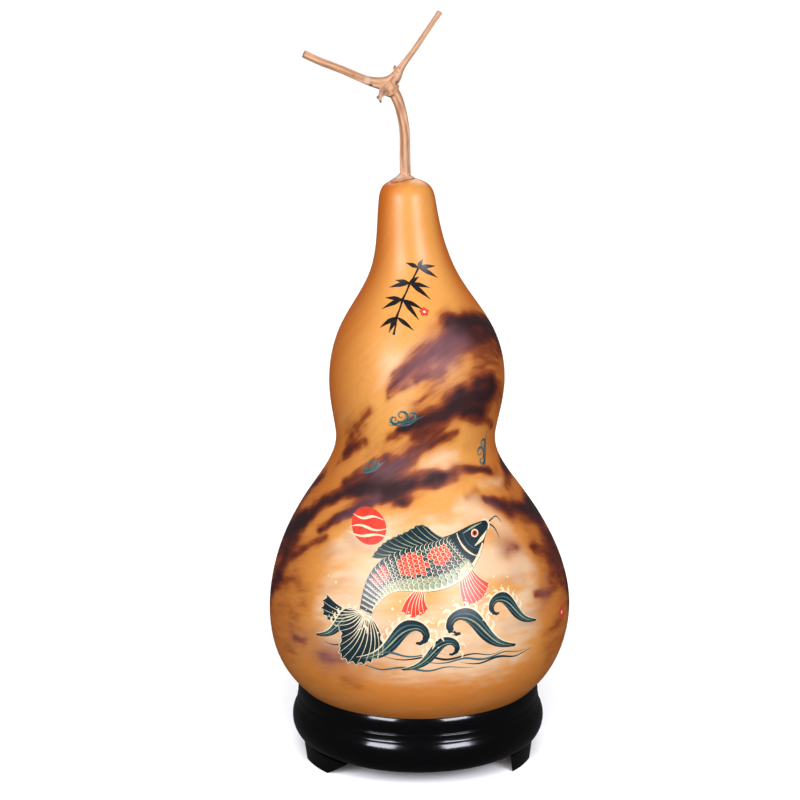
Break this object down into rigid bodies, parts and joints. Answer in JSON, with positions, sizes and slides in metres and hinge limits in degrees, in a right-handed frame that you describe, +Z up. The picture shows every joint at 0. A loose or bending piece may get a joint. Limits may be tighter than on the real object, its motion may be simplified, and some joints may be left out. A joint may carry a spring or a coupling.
{
  "type": "carved gourd",
  "caption": "Dried bottle gourd with two bellies, a long neck and a forked vine stem, fire-shaded and painted, resting in a round black footed stand.",
  "frame": {"origin": "on the table under the middle of the stand", "axes": "+Z up along the gourd, -Y out of the painted front, +X to the viewer's right"},
  "size_m": [0.1991, 0.199, 0.4891],
  "materials": {
    "rind": "dried gourd rind, scorched in clouds, painted and varnished satin",
    "dry_stem": "dry ribbed vine wood, matte",
    "black_lacquer": "turned wood under gloss black lacquer"
  },
  "bodies": {
    "root": {"gourd": "rind", "stem": "dry_stem", "stand_ring": "black_lacquer", "foot_left": "black_lacquer", "foot_right": "black_lacquer", "foot_back": "black_lacquer"}
  },
  "joints": []
}
